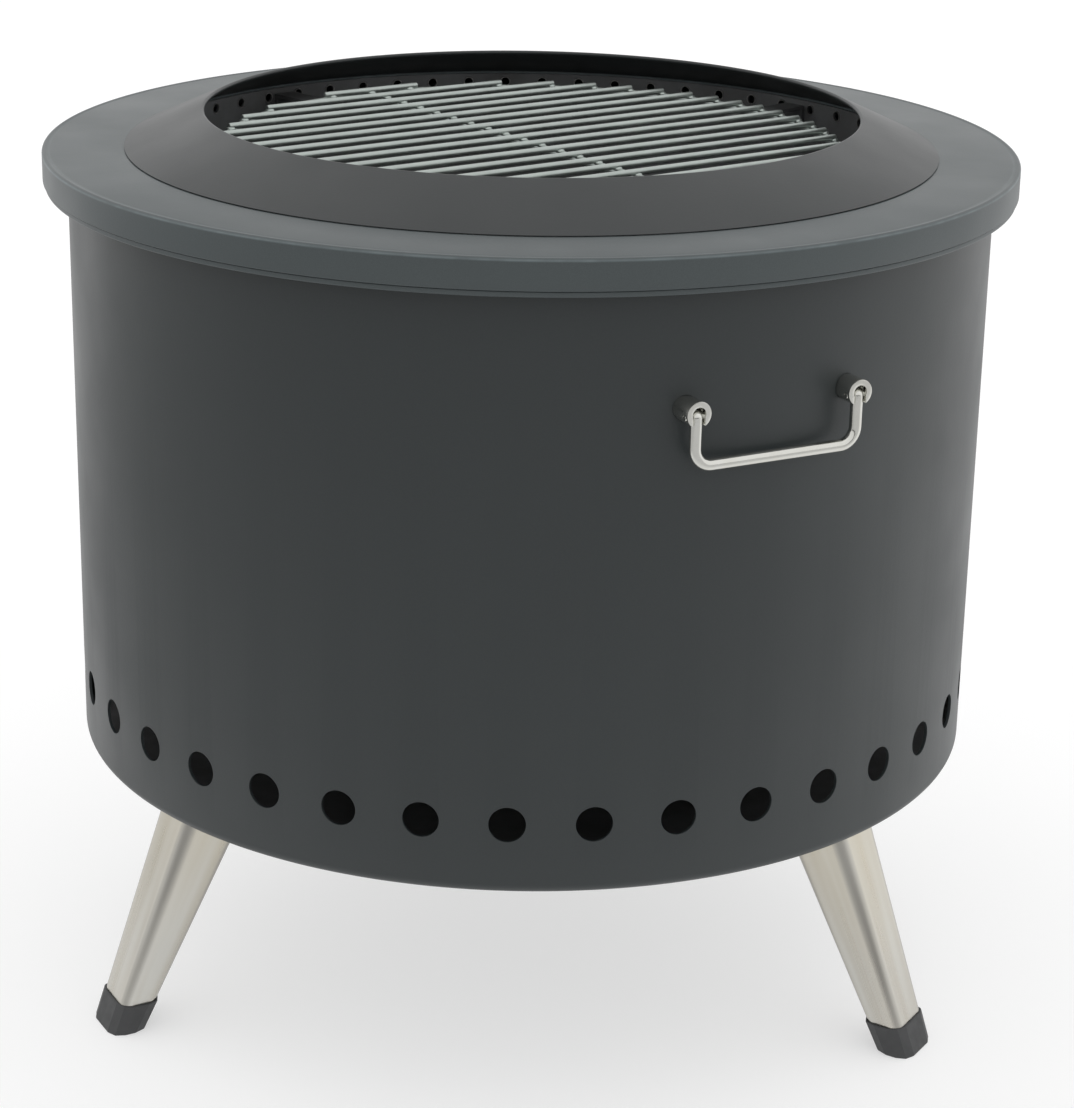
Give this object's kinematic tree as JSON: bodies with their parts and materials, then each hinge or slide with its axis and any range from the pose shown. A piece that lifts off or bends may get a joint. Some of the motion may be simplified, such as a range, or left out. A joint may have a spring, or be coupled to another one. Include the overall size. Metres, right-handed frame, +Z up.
{
  "type": "fire pit with grate",
  "caption": "Round double-walled garden fire pit with a lift-out bar grate, loose top ring with coned collar, splayed legs and drop handles.",
  "frame": {"origin": "centre of the footprint, on the floor under the barrel axis", "axes": "+Z up along the barrel axis, front at -Y, +X to the right seen from the front"},
  "size_m": [0.56, 0.56, 0.5266],
  "materials": {
    "barrel_coat": "satin charcoal powder coat",
    "ring_coat": "satin charcoal powder coat",
    "collar_coat": "satin charcoal powder coat",
    "chamber_coat": "matt black high-temperature coat",
    "pan_steel": "dull sheet steel",
    "grate_wire": "dull plated wire",
    "foot_plastic": "matt dark grey",
    "screw_steel": "zinc plated",
    "leg_steel": "satin stainless",
    "handle_steel": "polished stainless"
  },
  "bodies": {
    "pit_body": {"base_plate": "chamber_coat", "chamber_floor": "chamber_coat", "chamber_seat_ring": "chamber_coat", "chamber_wall": "chamber_coat", "foot_cap_1": "foot_plastic", "foot_cap_2": "foot_plastic", "foot_cap_3": "foot_plastic", "grate_rest_1": "chamber_coat", "grate_rest_2": "chamber_coat", "grate_rest_3": "chamber_coat", "grate_rest_4": "chamber_coat", "handle_left_pin_a": "handle_steel", "handle_left_pin_b": "handle_steel", "handle_left_post_a": "handle_steel", "handle_left_post_b": "handle_steel", "handle_left_screw_a": "screw_steel", "handle_left_screw_b": "screw_steel", "handle_right_pin_a": "handle_steel", "handle_right_pin_b": "handle_steel", "handle_right_post_a": "handle_steel", "handle_right_post_b": "handle_steel", "handle_right_screw_a": "screw_steel", "handle_right_screw_b": "screw_steel", "leg_1": "leg_steel", "leg_2": "leg_steel", "leg_3": "leg_steel", "leg_plate_1": "leg_steel", "leg_plate_2": "leg_steel", "leg_plate_3": "leg_steel", "leg_screw_1": "screw_steel", "leg_screw_2": "screw_steel", "leg_screw_3": "screw_steel", "leg_screw_4": "screw_steel", "leg_screw_5": "screw_steel", "leg_screw_6": "screw_steel", "outer_shell": "barrel_coat"},
    "lift_off_top": {"top_ring": "ring_coat", "flame_collar": "collar_coat"},
    "grate_body": {"cooking_grate": "grate_wire"},
    "fire_plate": {"fire_grate": "chamber_coat"},
    "ash_tray": {"ash_pan": "pan_steel"},
    "bail_right": {"handle_right_bail": "handle_steel"},
    "bail_left": {"handle_left_bail": "handle_steel"}
  },
  "joints": [
    {"name": "ring_lift", "type": "slide", "parent": "pit_body", "child": "lift_off_top", "axis": [0, 0, 1], "range_m": [0, 0.12]},
    {"name": "ash_pan_lift", "type": "slide", "parent": "pit_body", "child": "ash_tray", "axis": [0, 0, 1], "range_m": [0, 0.375]},
    {"name": "fire_grate_lift", "type": "slide", "parent": "ash_tray", "child": "fire_plate", "axis": [0, 0, 1], "range_m": [0, 0.315]},
    {"name": "cooking_grate_lift", "type": "slide", "parent": "fire_plate", "child": "grate_body", "axis": [0, 0, 1], "range_m": [0, 0.1]},
    {"name": "right_handle_swing", "type": "hinge", "parent": "pit_body", "child": "bail_right", "pos_m": [0.13411, -0.23703, 0.42175], "axis": [-0.8704, -0.4924, 0], "range_deg": [0, 90]},
    {"name": "left_handle_swing", "type": "hinge", "parent": "pit_body", "child": "bail_left", "pos_m": [-0.13411, 0.23703, 0.42175], "axis": [0.8704, 0.4924, 0], "range_deg": [0, 90]}
  ]
}
